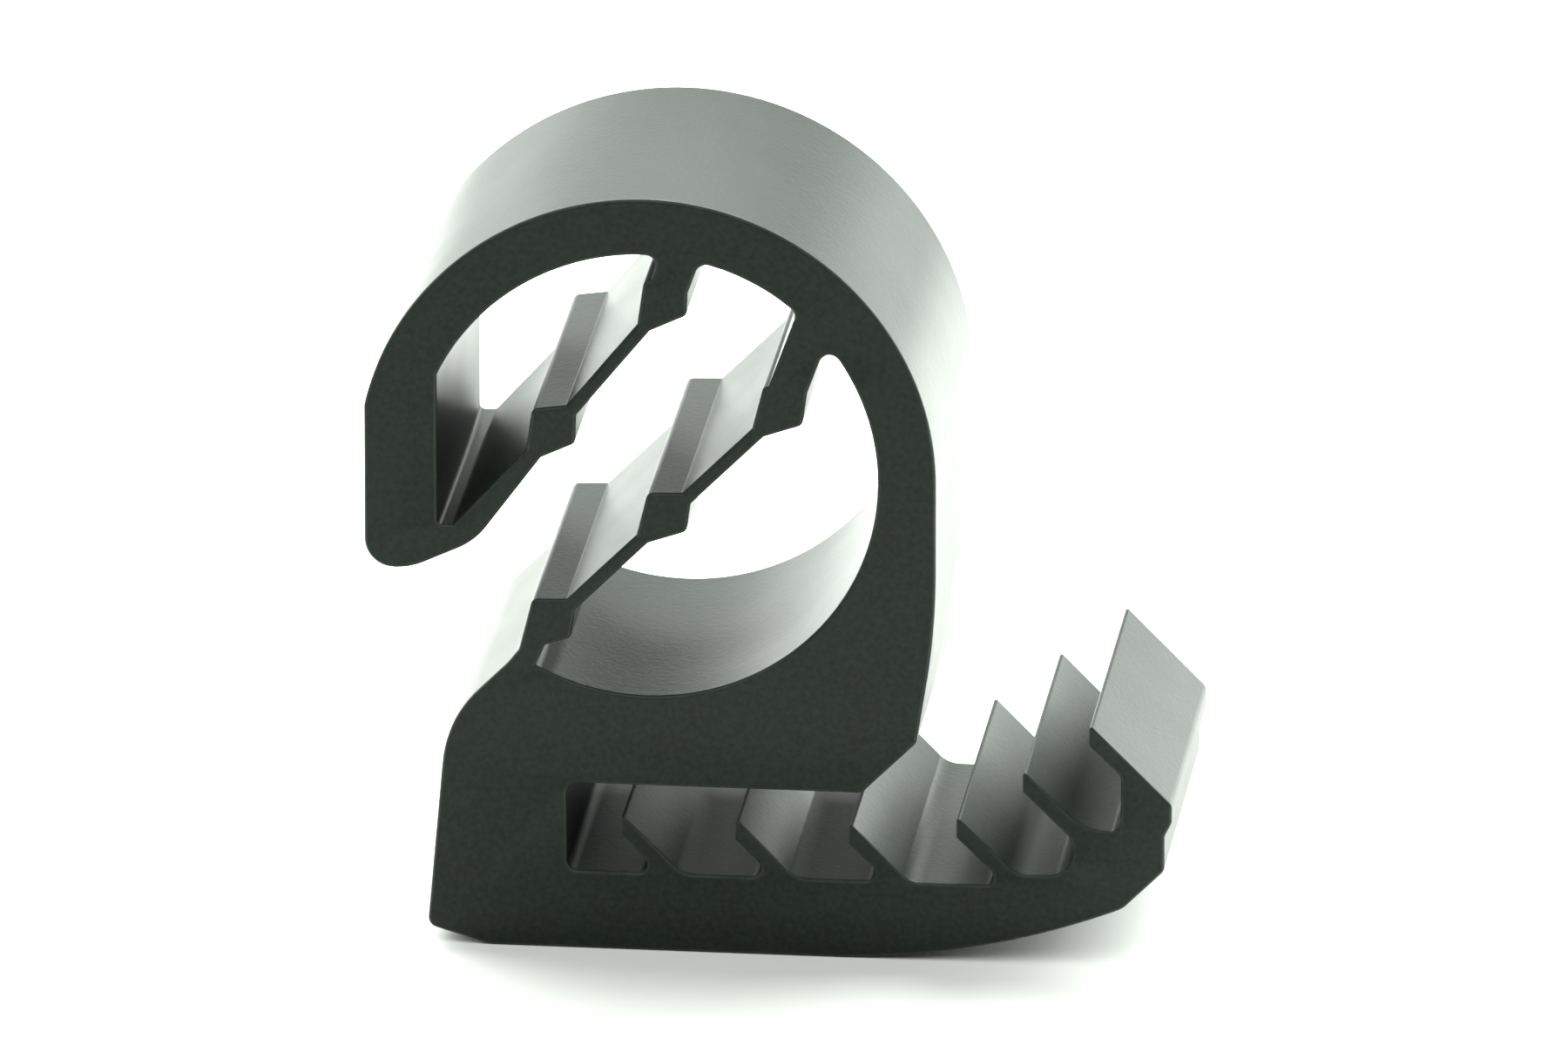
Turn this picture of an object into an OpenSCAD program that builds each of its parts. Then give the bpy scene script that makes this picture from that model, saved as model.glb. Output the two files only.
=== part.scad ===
// Panel-edge cable clip, moulded in one piece with the same section over its whole depth.
// An open ring holds the cable between two thin ribbed webs, and a barbed slot below the
// ring pushes over the edge of a panel.
// Lengths are in millimetres and angles in degrees.
// The section is drawn with x measured from the ring's axis and y up from the underside.

/* [Clip] */
// Depth of the clip along the cable
clip_depth = 10; // [5:0.5:25]

/* [Ring] */
// Bore of the cable ring
ring_bore = 12.7; // [11.5:0.1:15]
// Wall of the ring
ring_wall = 1.6; // [1.2:0.05:2.2]
// How far below the ring's axis its right side starts to draw in
side_drop = 4.15; // [3:0.05:5]
// Radius of the bend in the ring's right side
side_r = 20; // [8:1:24]

/* [Hook] */
// Depth of the flat on the outside of the hook leg
hook_flat = 0.2; // [0.05:0.05:0.4]
// Thickness of the hook leg
hook_t = 2; // [1.6:0.05:2.4]
// How far the hook leg hangs below the ring's axis
hook_drop = 2.9; // [2.2:0.1:3.6]
// Length of the hook's level underside
hook_toe = 1.25; // [0.8:0.05:1.6]
// Radius of the hook's outer toe
hook_r = 0.85; // [0.3:0.05:1]
// Radius where the hook's underside bends up into the web
hook_bend_r = 2; // [1:0.1:3]
// Width of the groove floor between the hook leg and the upper web
groove_w = 0.45; // [0.3:0.05:0.8]
// Thickness of the hook under the groove floor
groove_floor = 1.3; // [1:0.05:1.6]

/* [Webs] */
// Thickness of the flexible webs
web_t = 0.38; // [0.25:0.01:0.6]
// Thickness of each web where it leaves the hook or the lip
web_root_t = 0.75; // [0.6:0.05:1]
// Angle of the mouth's lower lip below the level of the ring's axis
lip_angle = 56; // [50:1:62]
// Slope of the upper web
upper_angle = 51; // [48:0.5:54]
// Slope of the lower web
lower_angle = 45; // [42:0.5:48]
// Distance from the hook to the upper web's first rib
upper_first = 3.77; // [3:0.05:4.5]
// Distance from the lip to the lower web's first rib
lower_first = 1.16; // [0.8:0.02:1.6]
// Gap between the ring and the upper web's last rib
upper_gap = 1.45; // [1.1:0.05:2]
// Gap between the ring and the lower web's last rib
lower_gap = 2.25; // [1.6:0.05:2.8]
// Length of a rib along its web
rib_len = 2.3; // [1.8:0.1:3]
// How far a rib's left edge stands out from the middle of its web
rib_left = 0.84; // [0.6:0.02:1]
// How far a rib's right edge stands out from the middle of its web
rib_right = 0.68; // [0.5:0.02:0.8]
// How far both edges of a rib are set up the web from the rib's middle
rib_lead = 0.25; // [0:0.05:0.5]
// Radius of a rib's edges
rib_r = 0.2; // [0.05:0.01:0.3]
// Thickness of the posts between the webs and the ring
post_t = 1.05; // [0.8:0.05:1.3]
// Slope of the posts
post_angle = 70; // [64:1:76]

/* [Base] */
// Thickness of the jaw between the slot and the bore
jaw_t = 2.6; // [2:0.05:4]
// Distance from the ring's axis to the left edge of the base
base_reach = 6.05; // [5.6:0.05:6.6]
// Lean of the base's left wall
base_lean = 5; // [2:0.5:8]
// Radius of the shoulder above the base's left wall
shoulder_r = 3.5; // [2:0.1:4.5]
// Length of the bevel under the base's left edge
heel_len = 1.7; // [1:0.05:2.4]
// Height of the bevel under the base's left edge
heel_h = 0.5; // [0.2:0.05:0.9]
// Height of the panel slot
slot_h = 2.54; // [2.2:0.02:3.4]
// Distance from the left edge of the base to the end of the slot
slot_wall = 3.85; // [3:0.05:5]
// Size of the lead-in bevel at the jaw's end
lead_in = 1.5; // [0.8:0.05:2]
// How far the jaw's end is drawn in from the ring's side
jaw_inset = 0.53; // [0.2:0.01:1]

/* [Arm] */
// Thickness of the spring arm
arm_t = 2.25; // [1.8:0.05:3]
// Length of the arm from the end of the slot
arm_len = 16.65; // [15:0.1:20]
// Flat length of the arm's underside from the end of the slot
arm_flat = 6.7; // [4:0.1:8]
// Rise of the underside up to the bevel at the arm's end
arm_lift = 1.7; // [1:0.05:2.2]
// Size of the bevel under the arm's end
arm_bevel = 1.15; // [0.6:0.05:1.4]
// Height of the plain end face above the bevel
end_h = 1; // [0.6:0.05:1.3]
// How far the last barb's root stands proud of the end face
end_lip = 0.2; // [0.1:0.05:0.4]
// Rise of the arm's top in front of the middle end barb
pocket_rise = 0.35; // [0:0.05:0.6]

/* [Barbs] */
// Thickness of the barbs
barb_t = 0.45; // [0.3:0.01:0.6]
// Slope of the barbs
barb_angle = 45; // [42:1:48]
// Number of barbs inside the slot
grip_count = 3; // [1:1:3]
// Spacing of the barbs inside the slot
grip_pitch = 3.14; // [2.8:0.02:3.2]
// Distance from the end of the slot to the first barb's tip
grip_start = 1.5; // [1:0.05:1.8]
// Height of the barbs inside the slot
grip_h = 1.7; // [1.3:0.05:1.9]
// Height of the last barb's root above the arm's top
last_root = 2.52; // [2.3:0.02:3]
// Length of the last barb's slope, measured level
last_slope = 2.28; // [1.9:0.02:2.6]
// Level step between the tips of the three barbs at the arm's end
tip_step = 1.82; // [1.6:0.02:2]
// Rise between those tips
tip_rise = 1.4; // [1.2:0.01:1.6]
// Distance from the last barb's tip to the wall behind it
last_wall = 0.87; // [0.7:0.01:1.1]
// Distance from the middle end barb's tip to the wall behind it
middle_wall = 1.38; // [1.1:0.01:1.5]
// Height of the valley between those two barbs above the arm's top
valley_h = 1.7; // [1.4:0.05:2]
// Radius of the barbs' tips
tip_r = 0.07; // [0.02:0.01:0.12]
// Radius in the hollow under a barb
hollow_r = 0.25; // [0.1:0.01:0.4]
// Radius where a barb's slope runs out
runout_r = 0.8; // [0.4:0.05:1.2]

/* [Edges] */
// Radius of the plain corners
edge_r = 0.3; // [0.1:0.02:0.4]

/* [Hidden] */
$fn = 180;

// Heights of the panel slot and of the ring's axis
slot_floor = arm_t;
slot_roof = slot_floor + slot_h;
bore_r = ring_bore / 2;
ring_r = bore_r + ring_wall;
axis = [0, slot_roof + jaw_t + bore_r];

// Hook leg: outer flat, inner face, lower end and groove floor
hook_x = hook_flat - ring_r;
hook_in = hook_x + hook_t;
hook_low = axis.y - hook_drop;
groove = [hook_in + groove_w, hook_low + groove_floor];

// Base, slot and arm along x
base_x = -base_reach;
slot_x = base_x + slot_wall;
jaw_x = ring_r - jaw_inset;
arm_x = slot_x + arm_len;
end_x = arm_x - end_lip;
mid_x = (hook_x + arm_x) / 2;

// Unit vector at an angle
function heading(angle) = [cos(angle), sin(angle)];

// Distance from a point along a heading to the circle of a radius about the ring's axis
function reach(from, angle, radius) =
    let (d = from - axis, b = d * heading(angle))
    -b + sqrt(b * b - d * d + radius * radius);

// Webs: root on the centre line, length to the last rib, and the places of the ribs
upper_root = groove + web_root_t / 2 * heading(upper_angle - 90);
lower_root = axis - bore_r * heading(lip_angle);
upper_len = reach(upper_root, upper_angle, bore_r - upper_gap);
lower_len = reach(lower_root, lower_angle, bore_r - lower_gap);
upper_ribs = [for (s = [upper_first, upper_len]) upper_root + s * heading(upper_angle)];
lower_ribs = [for (s = [lower_first, (lower_first + lower_len) / 2, lower_len])
    lower_root + s * heading(lower_angle)];

// Tips of the barbs, from the slot's end outwards
barb_run = 1 / tan(barb_angle);
barb_drop = barb_t / cos(barb_angle);
grip_tips = [for (i = [0:grip_count - 1])
    [slot_x + grip_start + i * grip_pitch, slot_floor + grip_h]];
last_tip = [arm_x - last_slope, slot_floor + last_root + last_slope / barb_run];
middle_tip = last_tip - [tip_step, tip_rise];
first_tip = middle_tip - [tip_step, tip_rise];

// Arc under the arm: it leaves the flat level and ends at the bevel
bevel = [end_x - arm_bevel, arm_lift];
arc_start = slot_x + arm_flat;
arc_turn = 2 * atan(arm_lift / (bevel.x - arc_start));
arc_r = (bevel.x - arc_start) / sin(arc_turn);

// Foot of the shoulder, where the slope of the lip meets the base's leaning wall
shoulder_run = (lower_root.x - base_x - tan(base_lean) * (lower_root.y - heel_h))
    / (cos(lower_angle) - tan(base_lean) * sin(lower_angle));
shoulder = lower_root - shoulder_run * heading(lower_angle);

// Point with a corner radius
function at(point, radius = 0) = [point.x, point.y, radius];

// Slope and tip of a barb down to a level on its right
function barb_slope(tip, level, radius) =
    [[tip.x + (tip.y - level) * barb_run, level, radius], at(tip, tip_r)];

// Cut end of a barb and its underside down to a level
function barb_under(tip, level, radius) =
    [at(tip - [0, barb_drop], tip_r),
     [tip.x + (tip.y - barb_drop - level) * barb_run, level, radius]];

// Cut end of a barb and its underside up to a wall
function barb_wall(tip, wall, radius) =
    [at(tip - [0, barb_drop], tip_r),
     [tip.x + wall, tip.y - barb_drop - wall / barb_run, radius]];

// Corner i of a closed outline as [point before its arc, corner, point after it, centre, radius,
// hollow]. Arcs that would overlap on a side share it in proportion.
function spot(list, i) = let (c = list[(i + len(list)) % len(list)]) [c.x, c.y];
function half_angle(list, i) =
    let (a = spot(list, i - 1) - spot(list, i), b = spot(list, i + 1) - spot(list, i))
    acos(a * b / norm(a) / norm(b)) / 2;
function arc_side(list, i) =
    list[(i + len(list)) % len(list)].z / tan(half_angle(list, i));
function side_share(list, i, j) =
    min(1, 0.99 * norm(spot(list, j) - spot(list, i)) / (arc_side(list, i) + arc_side(list, j)));
function corner(list, i) =
    let (
        p = spot(list, i),
        a = (spot(list, i - 1) - p) / norm(spot(list, i - 1) - p),
        b = (spot(list, i + 1) - p) / norm(spot(list, i + 1) - p),
        half = half_angle(list, i),
        side = arc_side(list, i) * min(side_share(list, i, i - 1), side_share(list, i, i + 1))
    )
    [p + a * side, p, p + b * side, p + (a + b) / norm(a + b) * side / cos(half),
     side * tan(half), cross(a, b) > 0];

// Bow between a corner's arc and the chord that cuts the corner off, with a lap past the chord.
// The circle is drawn full enough for its facets to pass outside the chord's ends.
module bow(arc) {
    chord = (arc[0] + arc[2]) / 2;
    intersection() {
        translate(arc[3]) circle(arc[4] / cos(180 / $fn));
        polygon([arc[0], arc[1], arc[2], chord + (chord - arc[1]) / 10]);
    }
}

// Closed outline, drawn anticlockwise, with a true arc at each corner that has a radius
module rounded(list) {
    arcs = [for (i = [0:len(list) - 1]) if (list[i].z > 0) corner(list, i)];
    points = [for (i = [0:len(list) - 1])
        each list[i].z > 0 ? [corner(list, i)[0], corner(list, i)[2]] : [spot(list, i)]];
    difference() {
        polygon(points);
        for (arc = arcs) if (arc[5]) bow(arc);
    }
    for (arc = arcs) if (!arc[5]) bow(arc);
}

// Strip of even thickness between two points
module strip(from, to, thickness) {
    side = cross([0, 0, 1], [to.x - from.x, to.y - from.y, 0]) / norm(to - from) * thickness / 2;
    half = [side.x, side.y];
    polygon([from - half, to - half, to + half, from + half]);
}

// Upper half of the ring, with the hook's flat, lapping a little way down over what it joins
module ring_arch() {
    lap = ring_wall / 2;
    difference() {
        translate(axis) circle(ring_r);
        translate(axis) circle(bore_r);
        translate([-2 * ring_r, axis.y - lap - 2 * ring_r]) square([4 * ring_r, 2 * ring_r]);
        translate([hook_x - ring_r, axis.y - ring_r]) square([ring_r, 2 * ring_r]);
    }
}

// Hook leg with its toe, the groove and the tapered root of the upper web
module hook_leg() {
    across = heading(upper_angle - 90);
    rounded([
        [hook_x, axis.y, 0],
        [hook_x, hook_low, hook_r],
        [hook_x + hook_toe, hook_low, hook_bend_r],
        at(groove + web_root_t * across, hook_bend_r),
        at(upper_ribs[0] + web_t / 2 * across),
        at(upper_ribs[0] - web_t / 2 * across),
        at(groove, edge_r / 2),
        [hook_in, groove.y, edge_r / 2],
        [hook_in, axis.y + sqrt(bore_r * bore_r - hook_in * hook_in), 0]
    ]);
}

// Base under the ring, with the jaw, the panel slot and the barbed arm
module base_and_arm() {
    difference() {
        rounded(concat(
            [at(axis),
             at(lower_root + web_root_t * heading(lower_angle)),
             at(shoulder, shoulder_r),
             [base_x, heel_h, edge_r],
             [base_x + heel_len, 0, runout_r],
             [arc_start + arc_r * tan(arc_turn / 2), 0, arc_r],
             at(bevel, runout_r),
             [end_x, bevel.y + arm_bevel, edge_r],
             [end_x, bevel.y + arm_bevel + end_h, edge_r],
             [arm_x, bevel.y + arm_bevel + end_h + 2 * end_lip, edge_r],
             [arm_x, slot_floor + last_root, edge_r],
             at(last_tip, tip_r)],
            barb_wall(last_tip, last_wall, edge_r),
            [[last_tip.x + last_wall, slot_floor + valley_h, edge_r]],
            barb_slope(middle_tip, slot_floor + valley_h, 2 * runout_r),
            barb_wall(middle_tip, middle_wall, runout_r),
            [[middle_tip.x + middle_wall, slot_floor + pocket_rise, runout_r]],
            barb_slope(first_tip, slot_floor + pocket_rise, runout_r),
            barb_under(first_tip, slot_floor, hollow_r),
            [for (i = [grip_count - 1:-1:0]) each concat(
                barb_slope(grip_tips[i], slot_floor, runout_r),
                barb_under(grip_tips[i], slot_floor, hollow_r))],
            [[slot_x, slot_floor, edge_r],
             [slot_x, slot_roof, edge_r],
             [jaw_x - lead_in, slot_roof, edge_r],
             [jaw_x, slot_roof + lead_in, edge_r],
             [ring_r, axis.y - side_drop, side_r],
             [ring_r, axis.y, 0]]
        ));
        translate(axis) circle(bore_r);
    }
}

// Root of the lower web, which grows out of the lip without a step
module lip_root() {
    along = heading(lower_angle);
    across = heading(lower_angle + 90);
    start = lower_root - web_root_t / 2 * along;
    polygon([start, start - web_root_t * across,
        lower_ribs[0] - web_t / 2 * across, lower_ribs[0] + web_t / 2 * across]);
}

// Kite-shaped rib on a web, with its upper left face nearly level
module rib(place, angle) {
    translate(place)
        rotate(angle)
            rounded([[-rib_len / 2, 0, 0], [rib_lead, -rib_right, rib_r],
                [rib_len / 2, 0, 0], [rib_lead, rib_left, rib_r]]);
}

// Head of a post on one side: the corner where its edge meets the bore, and a point in the
// ring's wall beside that corner
function post_corner(foot, side) =
    let (edge = foot + side * post_t / 2 * heading(post_angle - 90))
    edge + reach(edge, post_angle, bore_r) * heading(post_angle);
function post_anchor(foot, side) =
    let (out = (post_corner(foot, side) - axis) / bore_r)
    post_corner(foot, side) + 3 * edge_r * side * [out.y, -out.x] + ring_wall / 3 * out;

// Post from a rib up into the ring's wall, with a fillet on each side of its head
module post(foot) {
    half = post_t / 2 * heading(post_angle - 90);
    rounded([
        at(foot - half),
        at(foot + half),
        at(post_corner(foot, 1), edge_r),
        at(post_anchor(foot, 1)),
        at(post_anchor(foot, -1)),
        at(post_corner(foot, -1), edge_r)
    ]);
}

// Section of the clip
module section() {
    ring_arch();
    hook_leg();
    base_and_arm();
    lip_root();
    strip(upper_ribs[0], upper_ribs[1], web_t);
    strip(lower_ribs[0], lower_ribs[2], web_t);
    for (place = upper_ribs) rib(place, upper_angle);
    for (place = lower_ribs) rib(place, lower_angle);
    post(upper_ribs[1]);
    post(lower_ribs[2]);
}

module cable_clip() {
    color("#2b302c")
        translate([-mid_x, 0, 0])
            rotate([90, 0, 0])
                linear_extrude(clip_depth, center = true)
                    section();
}

cable_clip();
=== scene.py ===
import bpy
import numpy as np
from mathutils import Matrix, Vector
from mathutils.geometry import tessellate_polygon


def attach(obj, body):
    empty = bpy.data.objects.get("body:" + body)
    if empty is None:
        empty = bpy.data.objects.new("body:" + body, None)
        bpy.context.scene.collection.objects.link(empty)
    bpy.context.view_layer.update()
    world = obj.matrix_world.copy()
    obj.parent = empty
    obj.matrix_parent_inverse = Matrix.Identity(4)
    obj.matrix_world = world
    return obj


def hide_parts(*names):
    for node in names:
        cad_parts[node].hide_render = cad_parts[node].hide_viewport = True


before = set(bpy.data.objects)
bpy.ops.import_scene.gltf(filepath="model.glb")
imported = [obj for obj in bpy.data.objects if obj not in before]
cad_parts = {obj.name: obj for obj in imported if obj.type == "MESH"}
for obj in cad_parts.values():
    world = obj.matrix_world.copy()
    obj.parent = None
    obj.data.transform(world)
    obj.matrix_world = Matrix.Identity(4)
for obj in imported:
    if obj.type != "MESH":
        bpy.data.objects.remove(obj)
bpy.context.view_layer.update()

# Cable clip: webs
# The clip is one piece of black nylon, injection moulded with the same section over its depth. Two
# thin sloping webs flex as the cable goes in. Each is thicker at its root, carries ribs with a
# kite-shaped section, and is tied to the ring by a short slanted post.

# The section is drawn in millimetres, with x from the ring's axis and z up from the underside.
RING_AXIS = np.array([0.0, 13.74])
BORE_R = 6.35
EDGE_R = 0.3
GROOVE = np.array([-5.3, 12.14])
LIP_ANGLE = 56
WEB_HALF = 0.19
WEB_ROOT = 0.75
UPPER_SLOPE = 51
UPPER_START = 3.77
UPPER_GAP = 1.45
LOWER_SLOPE = 45
LOWER_START = 1.16
LOWER_GAP = 2.25
RIB_HALF_LEN = 1.15
RIB_LEFT = 0.84
RIB_RIGHT = 0.68
RIB_LEAD = 0.25
RIB_R = 0.2
NOOK_R = 0.08
POST_HALF = 0.525
POST_SLOPE = 70


def heading(degrees):
    """Unit vector at an angle from the x axis."""
    return np.array([np.cos(np.radians(degrees)), np.sin(np.radians(degrees))])


def to_circle(start, along, radius):
    """Point where the line from start leaves a circle about the ring's axis: the larger root of
    the quadratic in the distance along the line."""
    away = start - RING_AXIS
    b = away @ along
    return start + (np.sqrt(b * b - away @ away + radius * radius) - b) * along


def crossing(a, b, c, d):
    """Point where the line through a and b meets the line through c and d: each distance is a
    ratio of two cross products."""
    u = b - a
    v = d - c
    w = c - a
    return a + u * (w[0] * v[1] - w[1] * v[0]) / (u[0] * v[1] - u[1] * v[0])


def rib_points(rib, along, side):
    """Lower end, edge and upper end of a rib on one side, and the foot of its middle on the web's
    face. Each is the rib's place plus a way along the web and a way out from it. side is 1 on the
    web's right and -1 on its left."""
    out = side * np.array([along[1], -along[0]])
    edge = rib + RIB_LEAD * along + (RIB_RIGHT if side > 0 else RIB_LEFT) * out
    return rib - RIB_HALF_LEN * along, edge, rib + RIB_HALF_LEN * along, rib + WEB_HALF * out


def rib_corner(rib, along, side):
    """Edge of a rib and the two points where its slopes meet the web's face, in order up the
    web."""
    low, edge, high, face = rib_points(rib, along, side)
    foot = crossing(face, face + along, low, edge)
    top = crossing(face, face + along, high, edge)
    return np.array([[*foot, NOOK_R], [*edge, RIB_R], [*top, NOOK_R]])


def root_meets_rib(root, rib, along, side):
    """Point where the tapered side of a web's root meets the lower slope of the first rib."""
    low, edge, _, face = rib_points(rib, along, side)
    return [*crossing(root, face, low, edge), NOOK_R]


def post_side(rib, along, side):
    """Foot of a post on the upper slope of its rib, and its head where it meets the bore."""
    _, edge, high, _ = rib_points(rib, along, side)
    up = heading(POST_SLOPE)
    start = rib + side * POST_HALF * heading(POST_SLOPE - 90)
    foot = crossing(start, start + up, edge, high)
    head = to_circle(start, up, BORE_R)
    return np.array([[*foot, NOOK_R], [*head, EDGE_R]])


upper_way = heading(UPPER_SLOPE)
upper_right = heading(UPPER_SLOPE - 90)
upper_root = GROOVE + WEB_ROOT / 2 * upper_right
upper_first = upper_root + UPPER_START * upper_way
upper_last = to_circle(upper_root, upper_way, BORE_R - UPPER_GAP)
upper_post_right = post_side(upper_last, upper_way, 1)
upper_post_left = post_side(upper_last, upper_way, -1)

lower_way = heading(LOWER_SLOPE)
lower_right = heading(LOWER_SLOPE - 90)
lower_root = RING_AXIS - BORE_R * heading(LIP_ANGLE)
lip = lower_root - WEB_ROOT / 2 * lower_way
lower_first = lower_root + LOWER_START * lower_way
lower_last = to_circle(lower_root, lower_way, BORE_R - LOWER_GAP)
lower_middle = (lower_first + lower_last) / 2
lower_post_right = post_side(lower_last, lower_way, 1)
lower_post_left = post_side(lower_last, lower_way, -1)

# Cable clip: base and arm
# The base takes the edge of a sheet panel in a slot between a flat jaw and a springy arm. Undercut
# barbs stand on the arm, and its end turns up into three more.
RING_R = 7.95
SIDE_DROP = 4.15
SIDE_R = 20
SLOT_FLOOR = 2.25
SLOT_ROOF = 4.79
SLOT_X = -2.2
JAW_X = 7.42
LEAD_IN = 1.5
BASE_X = -6.05
HEEL_H = 0.5
HEEL_LEN = 1.7
WALL_LEAN = 5
SHOULDER_R = 3.5
ARM_X = 14.45
ARM_FLAT = 6.7
ARM_LIFT = 1.7
ARM_BEVEL = 1.15
END_X = 14.25
END_H = 1.0
BARB_DROP = 0.45 / np.cos(np.radians(45))
TIP_R = 0.07
HOLLOW_R = 0.25
RUNOUT_R = 0.8
GRIP_X = (7.78, 4.64, 1.5)
GRIP_H = 1.7
LAST_ROOT = 2.52
LAST_SLOPE = 2.28
LAST_WALL = 0.87
MIDDLE_WALL = 1.38
TIP_STEP = np.array([1.82, 1.4])
VALLEY_H = 1.7
POCKET_RISE = 0.35

heel = np.array([BASE_X, HEEL_H])
shoulder = crossing(lip, lower_root, heel, heel + heading(90 - WALL_LEAN))
bevel = np.array([END_X - ARM_BEVEL, ARM_LIFT])
bevel_top = ARM_LIFT + ARM_BEVEL
end_top = bevel_top + END_H
end_lip = ARM_X - END_X
arc_start = SLOT_X + ARM_FLAT
arc_turn = 2 * np.arctan(bevel[1] / (bevel[0] - arc_start))
arc_r = (bevel[0] - arc_start) / np.sin(arc_turn)
last_tip = np.array([ARM_X - LAST_SLOPE, SLOT_FLOOR + LAST_ROOT + LAST_SLOPE])
middle_tip = last_tip - TIP_STEP
first_tip = middle_tip - TIP_STEP
valley = SLOT_FLOOR + VALLEY_H
pocket = SLOT_FLOOR + POCKET_RISE


def barb_slope(tip, level, runout):
    """Run-out of a barb's 45 degree slope at a level on its right, and its tip."""
    return [[tip[0] + tip[1] - level, level, runout], [*tip, TIP_R]]


def barb_under(tip, level, hollow):
    """Cut end of a barb, and the hollow where its 45 degree underside meets a level."""
    low = tip[1] - BARB_DROP
    return [[tip[0], low, TIP_R], [tip[0] + low - level, level, hollow]]


grip_barbs = []
for grip_x in GRIP_X:
    grip_tip = np.array([SLOT_X + grip_x, SLOT_FLOOR + GRIP_H])
    grip_barbs += barb_slope(grip_tip, SLOT_FLOOR, RUNOUT_R)
    grip_barbs += barb_under(grip_tip, SLOT_FLOOR, HOLLOW_R)
base_and_arm = [
    [*lip, 0],
    [*shoulder, SHOULDER_R],
    [*heel, EDGE_R],
    [BASE_X + HEEL_LEN, 0, RUNOUT_R],
    [arc_start + arc_r * np.tan(arc_turn / 2), 0, arc_r],
    [*bevel, RUNOUT_R],
    [END_X, bevel_top, EDGE_R],
    [END_X, end_top, EDGE_R],
    [ARM_X, end_top + 2 * end_lip, EDGE_R],
    [ARM_X, SLOT_FLOOR + LAST_ROOT, EDGE_R],
    [*last_tip, TIP_R],
    *barb_under(last_tip, last_tip[1] - BARB_DROP - LAST_WALL, EDGE_R),
    [last_tip[0] + LAST_WALL, valley, EDGE_R],
    *barb_slope(middle_tip, valley, 2 * RUNOUT_R),
    *barb_under(middle_tip, middle_tip[1] - BARB_DROP - MIDDLE_WALL, RUNOUT_R),
    [middle_tip[0] + MIDDLE_WALL, pocket, RUNOUT_R],
    *barb_slope(first_tip, pocket, RUNOUT_R),
    *barb_under(first_tip, SLOT_FLOOR, HOLLOW_R),
    *grip_barbs,
    [SLOT_X, SLOT_FLOOR, EDGE_R],
    [SLOT_X, SLOT_ROOF, EDGE_R],
    [JAW_X - LEAD_IN, SLOT_ROOF, EDGE_R],
    [JAW_X, SLOT_ROOF + LEAD_IN, EDGE_R],
    [RING_R, RING_AXIS[1] - SIDE_DROP, SIDE_R],
]

# Cable clip: ring and outlines
# The ring ends on the left in a hook with a flat outside and a rounded toe. The outer outline runs
# anticlockwise and the two cells between the webs and the ring clockwise, so the nylon is always
# on the left. Each corner is x, z and its radius.
HOOK_X = -7.75
HOOK_IN = -5.75
HOOK_LOW = 10.84
HOOK_TOE = 1.25
HOOK_R = 0.85
HOOK_BEND_R = 2.0
ARC_STEP = 2
HEAD_GAP = 6.0


def circle_arc(radius, first, last):
    """Points on a circle about the ring's axis, a step of two degrees or less apart, as corners
    with no radius."""
    turn = np.radians(np.linspace(first, last, int(abs(last - first) / ARC_STEP) + 2))
    x = RING_AXIS[0] + radius * np.cos(turn)
    z = RING_AXIS[1] + radius * np.sin(turn)
    return np.stack([x, z, 0 * x], axis=1)


def bearing(point):
    """Angle of a point seen from the ring's axis, in degrees."""
    return np.degrees(np.arctan2(*(point - RING_AXIS)[::-1]))


flat_top = 180 - np.degrees(np.arccos(-HOOK_X / RING_R))
upper_corner = GROOVE + WEB_ROOT * upper_right
upper_heads = bearing(upper_post_right[1, :2]) - HEAD_GAP
lower_heads = bearing(lower_post_left[1, :2]) + HEAD_GAP
outer = np.vstack([
    circle_arc(RING_R, 0, flat_top),
    [[HOOK_X, HOOK_LOW, HOOK_R], [HOOK_X + HOOK_TOE, HOOK_LOW, HOOK_BEND_R]],
    [[*upper_corner, HOOK_BEND_R]],
    [root_meets_rib(upper_corner, upper_first, upper_way, 1)],
    rib_corner(upper_first, upper_way, 1)[1:],
    rib_corner(upper_last, upper_way, 1)[:2],
    upper_post_right,
    circle_arc(BORE_R, upper_heads, lower_heads),
    lower_post_left[::-1],
    rib_corner(lower_last, lower_way, -1)[1::-1],
    rib_corner(lower_middle, lower_way, -1)[::-1],
    rib_corner(lower_first, lower_way, -1)[:0:-1],
    [root_meets_rib(lip, lower_first, lower_way, -1)],
    base_and_arm,
])

hook_top = np.array([HOOK_IN, RING_AXIS[1] + np.sqrt(BORE_R**2 - HOOK_IN**2)])
left_cell = np.vstack([
    [[*GROOVE, EDGE_R / 2], [HOOK_IN, GROOVE[1], EDGE_R / 2]],
    circle_arc(BORE_R, bearing(hook_top), bearing(upper_post_left[1, :2]) + HEAD_GAP),
    upper_post_left[::-1],
    rib_corner(upper_last, upper_way, -1)[1::-1],
    rib_corner(upper_first, upper_way, -1)[:0:-1],
    [root_meets_rib(GROOVE, upper_first, upper_way, -1)],
])

# The lower web's root meets the bore at the near end of the chord that its right side lies on.
root_low = lip + WEB_ROOT * lower_right
root_way = lower_first + WEB_HALF * lower_right - root_low
root_way = root_way / np.linalg.norm(root_way)
chord_middle = root_low - root_way * ((root_low - RING_AXIS) @ root_way)
root_foot = 2 * chord_middle - to_circle(root_low, root_way, BORE_R)
right_cell = np.vstack([
    [root_meets_rib(root_low, lower_first, lower_way, 1)],
    rib_corner(lower_first, lower_way, 1)[1:],
    rib_corner(lower_middle, lower_way, 1),
    rib_corner(lower_last, lower_way, 1)[:2],
    lower_post_right,
    circle_arc(BORE_R, bearing(lower_post_right[1, :2]) - HEAD_GAP, bearing(root_foot)),
])

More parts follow.
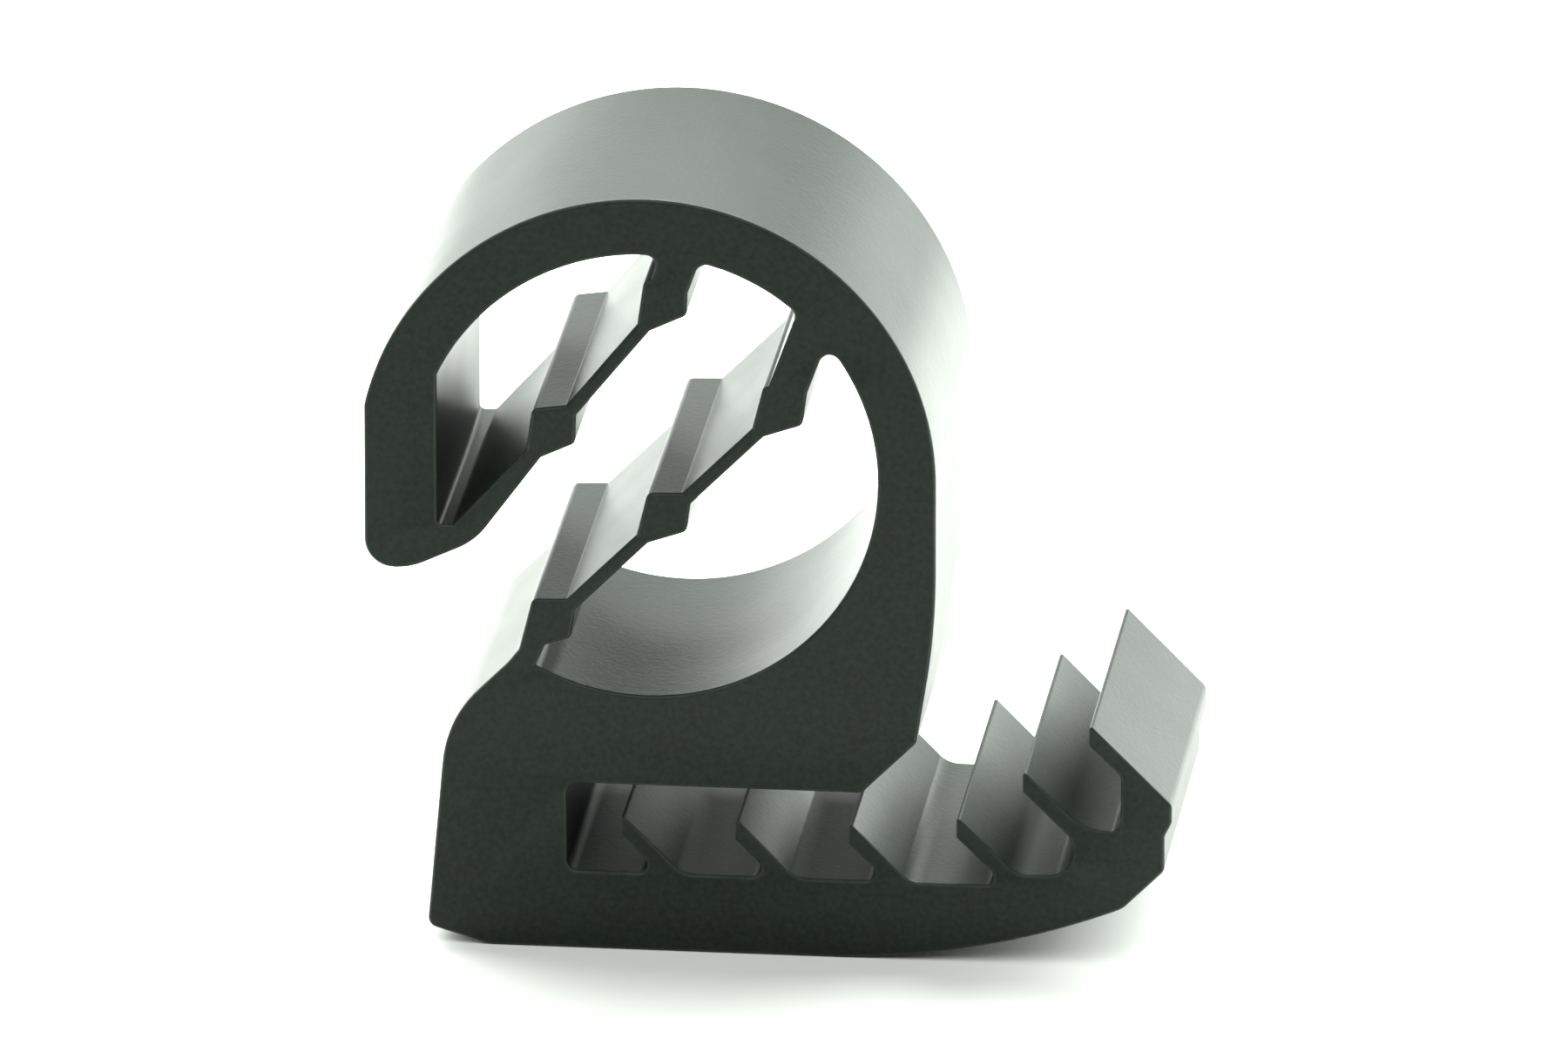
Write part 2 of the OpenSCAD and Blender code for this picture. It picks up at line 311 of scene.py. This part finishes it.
# Cable clip: body
# The outlines are carried through the depth. The long edges of the two end faces have the small
# radius that a mould leaves, which catches a thin line of light. The slot and other narrow hollows
# are marked for the finish.
DEPTH = 10.0
MIDDLE_X = 3.35
MOULD_EDGE = 0.1
EDGE_SHARE = 0.7
EDGE_STEPS = 5
CORNER_STEPS = 12
ARC_ROOM = 0.98
MERGE_GAP = 1e-4
SELF_GAP = 0.01
SLOT_GAP = 4.0
NOOK_GAP = 1.5
TINY = 1e-9


def unit(way):
    """Each vector of an array over its own length."""
    return way / np.maximum(np.linalg.norm(way, axis=1), TINY)[:, None]


def rounded(corners, edge):
    """Closed outline with an arc at each corner: the arc touches both sides at radius over the
    tangent of half the corner's angle, cut back where two arcs would overlap on a side. Returns
    the points, their outward normals and the edge rounding that each can take."""
    point = corners[:, :2]
    radius = corners[:, 2]
    ahead = np.roll(point, -1, axis=0) - point
    length = np.linalg.norm(ahead, axis=1)
    after = ahead / length[:, None]
    before = -np.roll(after, 1, axis=0)
    half = np.arccos(np.clip((before * after).sum(axis=1), -1, 1)) / 2
    side = radius / np.tan(half)
    share = np.minimum(1, ARC_ROOM * length / np.maximum(side + np.roll(side, -1), TINY))
    side = side * np.minimum(share, np.roll(share, 1))
    radius = side * np.tan(half)
    middle = unit(before + after)
    centre = point + middle * (side / np.cos(half))[:, None]
    turn = np.linspace(-1, 1, CORNER_STEPS)[None, :] * (np.pi / 2 - half)[:, None]
    convex = before[:, 0] * after[:, 1] - before[:, 1] * after[:, 0] < 0
    turn = np.where(convex[:, None], turn, -turn)
    out_x = -middle[:, :1] * np.cos(turn) + middle[:, 1:] * np.sin(turn)
    out_z = -middle[:, :1] * np.sin(turn) - middle[:, 1:] * np.cos(turn)
    arc = centre[:, None] + radius[:, None, None] * np.stack([out_x, out_z], axis=2)
    room = np.where(convex & (radius > 0), np.minimum(edge, EDGE_SHARE * radius), edge)
    arc = arc.reshape(-1, 2)
    room = np.repeat(room, CORNER_STEPS)
    apart = np.linalg.norm(arc - np.roll(arc, 1, axis=0), axis=1) > MERGE_GAP
    arc = arc[apart]
    room = room[apart]
    way = unit(np.roll(arc, -1, axis=0) - arc)
    way = unit(way + np.roll(way, 1, axis=0))
    return arc, np.stack([way[:, 1], -way[:, 0]], axis=1), room


def facing_gap(line, out):
    """Distance from each point of an outline along its outward normal to the next wall: the least
    positive way to any side of the outline, each a ratio of two cross products."""
    side = (np.roll(line, -1, axis=0) - line)[None]
    away = line[None] - line[:, None]
    out = out[:, None]
    cross = out[..., 0] * side[..., 1] - out[..., 1] * side[..., 0]
    cross = np.where(np.abs(cross) < TINY, TINY, cross)
    reach = (away[..., 0] * side[..., 1] - away[..., 1] * side[..., 0]) / cross
    share = (away[..., 0] * out[..., 1] - away[..., 1] * out[..., 0]) / cross
    met = (reach > SELF_GAP) & (share >= 0) & (share <= 1)
    return np.where(met, reach, np.inf).min(axis=1)


quarter = np.linspace(0, np.pi / 2, EDGE_STEPS)
across = np.concatenate([quarter, np.pi - quarter[::-1]])
rows = len(across)
front = np.where(np.arange(rows) < EDGE_STEPS, -1.0, 1.0)[:, None]
vertices, normals, quads, rubbed_and_highlight, hollow = [], [], [], [], []
cap_loops, cap_index, filled = [], [], 0
for corners in (outer, left_cell, right_cell):
    line, out, room = rounded(corners, MOULD_EDGE)
    count = len(line)
    inset = room[None, :] * (1 - np.sin(across))[:, None]
    flat = line[None] - out[None] * inset[..., None]
    y = front * (DEPTH / 2 - room[None, :] * (1 - np.abs(np.cos(across)))[:, None])
    point = np.stack([flat[..., 0] - MIDDLE_X, y, flat[..., 1]], axis=2)
    vertices.append(point.reshape(-1, 3))
    tilt = np.broadcast_to(-np.cos(across)[:, None], (rows, count))
    lean = np.sin(across)[:, None, None] * out[None]
    normals.append(np.stack([lean[..., 0], tilt, lean[..., 1]], axis=2).reshape(-1, 3))
    # Mask for the paler edge tone on the rounded edges: partly rubbed wear, partly a painted
    # highlight line.
    rub_and_highlight = np.abs(np.sin(2 * across))[:, None]
    rubbed_and_highlight.append(np.broadcast_to(rub_and_highlight, (rows, count)).reshape(-1))
    by_slot = (line[:, 0] > SLOT_X - EDGE_R) & (line[:, 1] < last_tip[1])
    deep = facing_gap(line, out) < np.where(by_slot, SLOT_GAP, NOOK_GAP)
    hollow.append(np.broadcast_to(deep, (rows, count)).reshape(-1))
    here = np.arange(rows * count).reshape(rows, count) + filled
    ahead = np.roll(here, -1, axis=1)
    quads.append(np.stack([here[:-1], here[1:], ahead[1:], ahead[:-1]], axis=2).reshape(-1, 4))
    cap_loops.append(flat[0])
    cap_index.append(np.stack([here[0], here[-1]]))
    filled += rows * count

vertices = np.vstack(vertices) / 1000
normals = np.vstack(normals)
quads = np.vstack(quads)
rubbed_and_highlight = np.concatenate(rubbed_and_highlight).astype(np.float32)
hollow = np.concatenate(hollow).astype(np.float32)
cap_index = np.hstack(cap_index)
flat_loops = [np.pad(loop, ((0, 0), (0, 1))).tolist() for loop in cap_loops]
triangles = np.array(tessellate_polygon(flat_loops))
a, b, c = np.vstack(cap_loops)[triangles.T]
area = (b - a)[:, 0] * (c - a)[:, 1] - (b - a)[:, 1] * (c - a)[:, 0]
triangles = np.where((area > 0)[:, None], triangles, triangles[:, ::-1])
front_cap = cap_index[0][triangles]
back_cap = cap_index[1][triangles[:, ::-1]]
faces = [*quads.tolist(), *front_cap.tolist(), *back_cap.tolist()]

clip_mesh = bpy.data.meshes.new("moulded_clip")
clip_mesh.from_pydata(vertices.tolist(), [], faces)
clip_mesh.validate()
clip_mesh.shade_smooth()
clip_mesh.normals_split_custom_set_from_vertices(normals.tolist())
clip_mesh.attributes.new("rubbed_and_highlight", "FLOAT", "POINT").data.foreach_set("value", rubbed_and_highlight)
clip_mesh.attributes.new("hollow", "FLOAT", "POINT").data.foreach_set("value", hollow)
clip = bpy.data.objects.new("moulded_clip", clip_mesh)
bpy.context.scene.collection.objects.link(clip)

# Cable clip: nylon
# Black nylon 6/6 from a finely spark-eroded mould: nearly black with a green cast, satin, with a
# soft grain, slow flow marks from the filling, edges a little paler, partly rubbed wear and partly
# a painted highlight, and a duller finish in the narrow hollows, where a mould is not polished.
PER_MM = 1000
# The real grain is about 0.05 mm, too fine to show here, so it is drawn three times as coarse.
GRAIN_MM = 0.16
FLOW_MM = 3.5
SCUFF_MM = 0.7
DARK_TONE = "#0a120c"
PALE_TONE = "#151f17"
# Paler tone of the edges: partly rubbed wear and partly a painted highlight.
RUBBED_HIGHLIGHT_TONE = "#39403a"
HOLLOW_ROUGHNESS = 0.53


def linear(code):
    """Linear colour of an sRGB hex value, by the sRGB transfer curve."""
    value = np.array([int(code[i:i + 2], 16) for i in (1, 3, 5)]) / 255
    low = value / 12.92
    high = ((value + 0.055) / 1.055) ** 2.4
    return (*np.where(value <= 0.04045, low, high).tolist(), 1.0)


def add(tree, kind, links=(), **settings):
    """Adds a node, sets its properties and input values, and links its inputs. A setting named
    for an input goes to that input's value."""
    node = tree.nodes.new(kind)
    for name, value in settings.items():
        if hasattr(node, name):
            setattr(node, name, value)
        else:
            node.inputs[name.replace("_", " ")].default_value = value
    for target, source in links:
        tree.links.new(source, node.inputs[target])
    return node


nylon = bpy.data.materials.new("black_moulded_nylon")
nylon.use_nodes = True
tree = nylon.node_tree
tree.nodes.clear()
place = add(tree, "ShaderNodeTexCoord").outputs["Object"]
grain = add(tree, "ShaderNodeTexNoise", [("Vector", place)], Scale=PER_MM / GRAIN_MM, Detail=3.0)
flow = add(tree, "ShaderNodeTexNoise", [("Vector", place)],
           Scale=PER_MM / FLOW_MM, Detail=2.0, Distortion=0.6)
scuff = add(tree, "ShaderNodeTexNoise", [("Vector", place)], Scale=PER_MM / SCUFF_MM, Detail=4.0)
# The paler edge tone, broken up by scuff noise, is partly rubbed wear and partly a painted
# highlight along the rounded edges.
edge = add(tree, "ShaderNodeAttribute", attribute_name="rubbed_and_highlight")
wear_and_highlight = add(tree, "ShaderNodeMath", [(0, edge.outputs["Fac"]), (1, scuff.outputs["Fac"])],
           operation="MULTIPLY")
mottle = add(tree, "ShaderNodeMix", [(2, grain.outputs["Fac"]), (3, flow.outputs["Fac"])],
             Factor=0.25)
spread = add(tree, "ShaderNodeMapRange", [("Value", mottle.outputs[0])],
             From_Min=0.35, From_Max=0.65)
tone = add(tree, "ShaderNodeMix", [(0, spread.outputs[0])], data_type="RGBA")
tone.inputs[6].default_value = linear(DARK_TONE)
tone.inputs[7].default_value = linear(PALE_TONE)
worn_and_highlight = add(tree, "ShaderNodeMix", [(0, wear_and_highlight.outputs[0]), (6, tone.outputs[2])], data_type="RGBA")
worn_and_highlight.inputs[7].default_value = linear(RUBBED_HIGHLIGHT_TONE)
gloss = add(tree, "ShaderNodeMapRange", [("Value", flow.outputs["Fac"])],
            To_Min=0.29, To_Max=0.37)
inside = add(tree, "ShaderNodeAttribute", attribute_name="hollow")
dull = add(tree, "ShaderNodeMix", [(0, inside.outputs["Fac"]), (2, gloss.outputs[0])])
dull.inputs[3].default_value = HOLLOW_ROUGHNESS
bump = add(tree, "ShaderNodeBump", [("Height", grain.outputs["Fac"])],
           Strength=0.2, Distance=0.00003)
swell = add(tree, "ShaderNodeBump", [("Height", flow.outputs["Fac"]), ("Normal", bump.outputs[0])],
            Strength=0.15, Distance=0.00005)
looks = [
    ("Base Color", worn_and_highlight.outputs[2]),
    ("Roughness", dull.outputs[0]),
    ("Normal", swell.outputs[0]),
]
shader = add(tree, "ShaderNodeBsdfPrincipled", looks, IOR=1.32)
add(tree, "ShaderNodeOutputMaterial", [("Surface", shader.outputs[0])])
clip.data.materials.append(nylon)
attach(clip, "root")
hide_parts("cable_clip")

# Table top
# A large plain sheet of white board that the clip stands on. It is matt and even, so the ground is
# pale and takes only a soft shadow.
BOARD_HALF = 3.0
board_corners = BOARD_HALF * np.array([[-1, -1, 0], [1, -1, 0], [1, 1, 0], [-1, 1, 0]])
board_mesh = bpy.data.meshes.new("white_board")
board_mesh.from_pydata(board_corners.tolist(), [], [(0, 1, 2, 3)])
board = bpy.data.objects.new("white_board", board_mesh)
bpy.context.scene.collection.objects.link(board)
paper = bpy.data.materials.new("matt_white_board")
paper.use_nodes = True
paper_look = paper.node_tree.nodes["Principled BSDF"].inputs
paper_look["Base Color"].default_value = linear("#f2f2f0")
paper_look["Roughness"].default_value = 0.9
paper_look["IOR"].default_value = 1.3
board_mesh.materials.append(paper)

# Studio light
# The clip is lit from behind, so that its upper faces shine and its front stays dark: a wide panel
# stands far behind it and another hangs over the board just behind it. Weak panels on the right and
# in front keep the board white. All have a faint green tint, which shows in the shine.
TINT = linear("#f8fff9")[:3]


def soft_panel(name, size, power, place, target):
    """Rectangular area light that faces a point. Sizes and places are in metres, power in watts."""
    data = bpy.data.lights.new(name, "AREA")
    data.shape = "RECTANGLE"
    data.size, data.size_y = size
    data.energy = power
    data.color = TINT
    lamp = bpy.data.objects.new(name, data)
    lamp.location = place
    lamp.rotation_euler = (Vector(target) - Vector(place)).to_track_quat("-Z", "Y").to_euler()
    lamp.visible_camera = False
    bpy.context.scene.collection.objects.link(lamp)


soft_panel("standing_panel", (1.2, 0.12), 1.6, (0, 0.5, 0.065), (0, 0, 0.065))
soft_panel("hanging_panel", (0.8, 0.1), 2.7, (0, 0.09, 0.095), (0, 0.09, 0))
soft_panel("right_panel", (0.4, 0.2), 0.4, (0.3, 0.25, 0.12), (0, 0, 0.01))
soft_panel("front_panel", (0.5, 0.2), 0.5, (0, -0.12, 0.18), (0, -0.06, 0))
world = bpy.data.worlds.new("studio")
world.use_nodes = True
surround = world.node_tree.nodes["Background"].inputs
surround["Color"].default_value = (1, 1, 1, 1)
surround["Strength"].default_value = 0.2
bpy.context.scene.world = world
bpy.context.scene.view_settings.view_transform = "Standard"

# Camera
# A very long lens, a little to the right of the clip and raised by 19 degrees, so that the section
# shows almost without perspective. The frame's width is measured at the target.
AZIMUTH = np.radians(6.3)
ELEVATION = np.radians(19.0)
DISTANCE = 0.8
FRAME_WIDTH = 0.04276
SENSOR_MM = 36
target = Vector((0.00044, -0.005, 0.01256))
level = np.cos(ELEVATION)
back = Vector((np.sin(AZIMUTH) * level, -np.cos(AZIMUTH) * level, np.sin(ELEVATION)))
lens = bpy.data.cameras.new("camera")
lens.sensor_width = SENSOR_MM
lens.lens = SENSOR_MM * DISTANCE / FRAME_WIDTH
camera = bpy.data.objects.new("camera", lens)
camera.location = target + DISTANCE * back
camera.rotation_euler = (-back).to_track_quat("-Z", "Y").to_euler()
bpy.context.scene.collection.objects.link(camera)
bpy.context.scene.camera = camera
